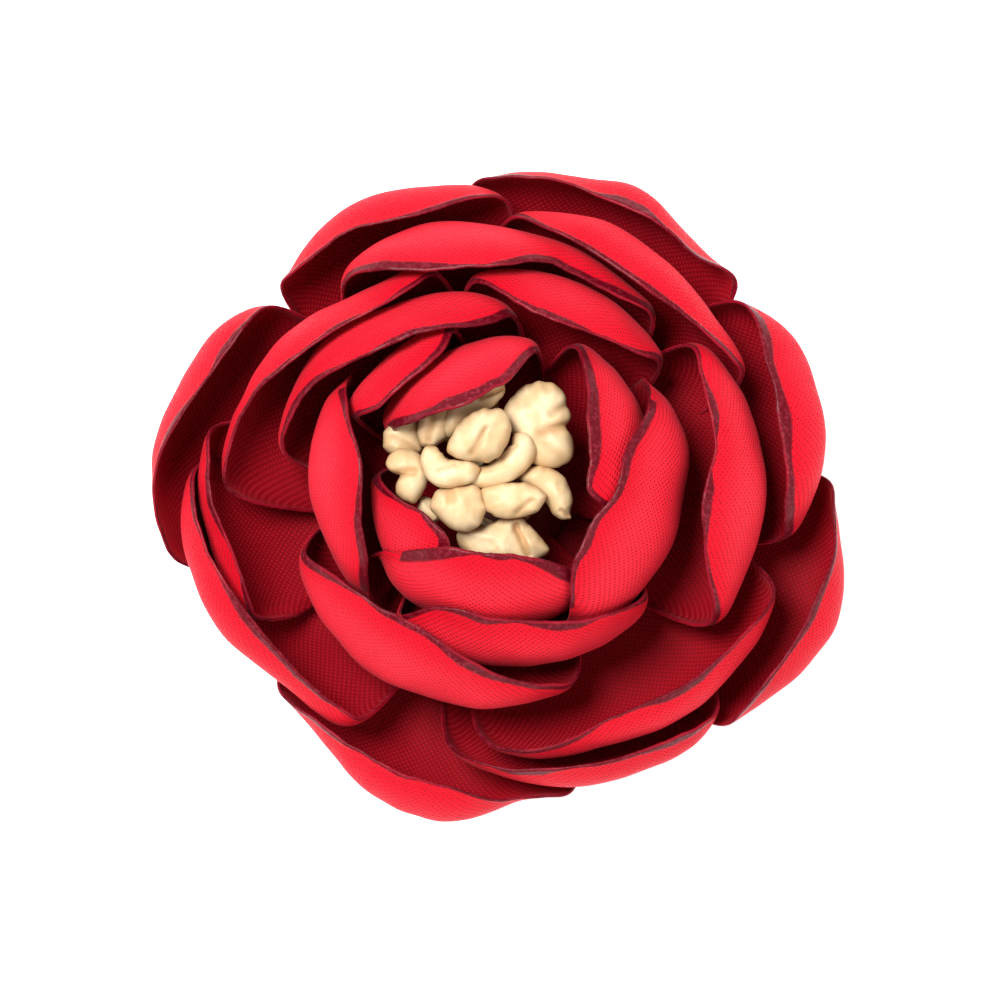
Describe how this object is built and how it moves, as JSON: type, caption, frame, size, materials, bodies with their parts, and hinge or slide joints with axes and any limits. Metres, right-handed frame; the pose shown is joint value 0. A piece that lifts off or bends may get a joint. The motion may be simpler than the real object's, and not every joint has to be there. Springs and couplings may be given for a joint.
{
  "type": "flower hair clip",
  "caption": "Red fabric ranunculus-style flower with cream stamens, glued to a felt back on a sprung steel alligator hair clip.",
  "frame": {"origin": "middle of the felt backing's lower face, under the flower", "axes": "+Z out through the flower, +X along the clip towards its toothed tip, +Y across the clip along its hinge pin"},
  "size_m": [0.0587, 0.0552, 0.0401],
  "materials": {
    "petal_cloth": "bright red woven satin with heat-sealed dark burgundy edges",
    "stamen_plaster": "cream moulded plaster heads, slightly waxy",
    "stalk_thread": "stiffened cotton thread",
    "hot_glue": "set hot-melt glue, cloudy",
    "felt": "dark red craft felt",
    "clip_steel": "nickel-plated spring-clip steel",
    "pin_steel": "bright rivet steel",
    "spring_steel": "drawn spring wire"
  },
  "bodies": {
    "flower_and_plate": {"binding_thread": "stalk_thread", "bud_petal_core": "petal_cloth", "bud_petal_left": "petal_cloth", "bud_petal_lower": "petal_cloth", "bud_petal_outer_lower": "petal_cloth", "bud_petal_outer_right": "petal_cloth", "bud_petal_outer_upper": "petal_cloth", "bud_petal_right": "petal_cloth", "bud_petal_upper": "petal_cloth", "clip_glue": "hot_glue", "felt_backing": "felt", "felt_strip": "felt", "fixed_jaw": "clip_steel", "glue_core": "hot_glue", "hinge_pin": "pin_steel", "inner_petal_lower_left": "petal_cloth", "inner_petal_top": "petal_cloth", "inner_petal_upper_left": "petal_cloth", "middle_petal_left": "petal_cloth", "middle_petal_lower_right": "petal_cloth", "middle_petal_right": "petal_cloth", "middle_petal_top": "petal_cloth", "middle_petal_top_right": "petal_cloth", "middle_petal_upper_left": "petal_cloth", "outer_petal_bottom": "petal_cloth", "outer_petal_lower_left": "petal_cloth", "outer_petal_lower_left_inner": "petal_cloth", "outer_petal_lower_right": "petal_cloth", "outer_petal_right": "petal_cloth", "outer_petal_top_left": "petal_cloth", "outer_petal_top_right": "petal_cloth", "outer_petal_upper_left": "petal_cloth", "stamen_head_01": "stamen_plaster", "stamen_head_02": "stamen_plaster", "stamen_head_03": "stamen_plaster", "stamen_head_04": "stamen_plaster", "stamen_head_05": "stamen_plaster", "stamen_head_06": "stamen_plaster", "stamen_head_07": "stamen_plaster", "stamen_head_08": "stamen_plaster", "stamen_head_09": "stamen_plaster", "stamen_head_10": "stamen_plaster", "stamen_head_11": "stamen_plaster", "stamen_head_12": "stamen_plaster", "stamen_head_13": "stamen_plaster", "stamen_stalks": "stalk_thread", "torsion_spring": "spring_steel"},
    "lever_jaw": {"moving_jaw": "clip_steel"}
  },
  "joints": [
    {"name": "jaw_hinge", "type": "hinge", "parent": "flower_and_plate", "child": "lever_jaw", "pos_m": [-0.008, 0, -0.0046], "axis": [0, 1, 0], "range_deg": [0, 28], "stiffness_Nm_per_rad": 0.02, "springref_deg": -85.94, "deforming": ["torsion_spring"]}
  ]
}
